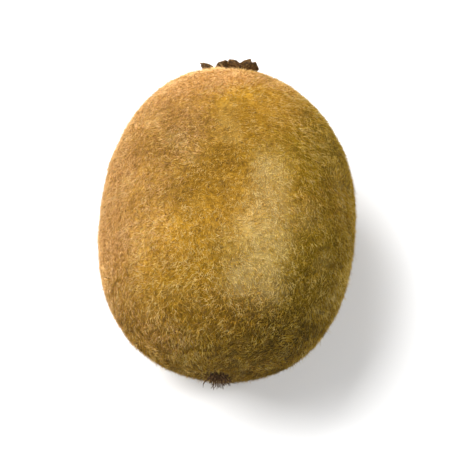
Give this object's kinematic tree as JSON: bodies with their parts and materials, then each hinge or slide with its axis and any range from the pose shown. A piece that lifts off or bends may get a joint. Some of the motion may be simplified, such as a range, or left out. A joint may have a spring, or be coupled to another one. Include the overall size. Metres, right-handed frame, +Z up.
{
  "type": "kiwi fruit",
  "caption": "Whole brown kiwi fruit lying on its side, with the dried calyx at the stem end and the dried style tuft at the blossom end.",
  "frame": {"origin": "middle of the small flat spot of the belly that the fruit rests on", "axes": "+Z up out of the resting surface; +Y along the fruit towards the stem end, the blossom end towards -Y; X across the fruit"},
  "size_m": [0.0519, 0.0692, 0.0476],
  "materials": {
    "skin": "fuzzy brown skin with a soft satin sheen",
    "dried_sepal": "dull dry fibre",
    "dried_style": "dull dry fibre"
  },
  "bodies": {
    "root": {"kiwi_body": "skin", "calyx": "dried_sepal", "style_tuft": "dried_style"}
  },
  "joints": []
}
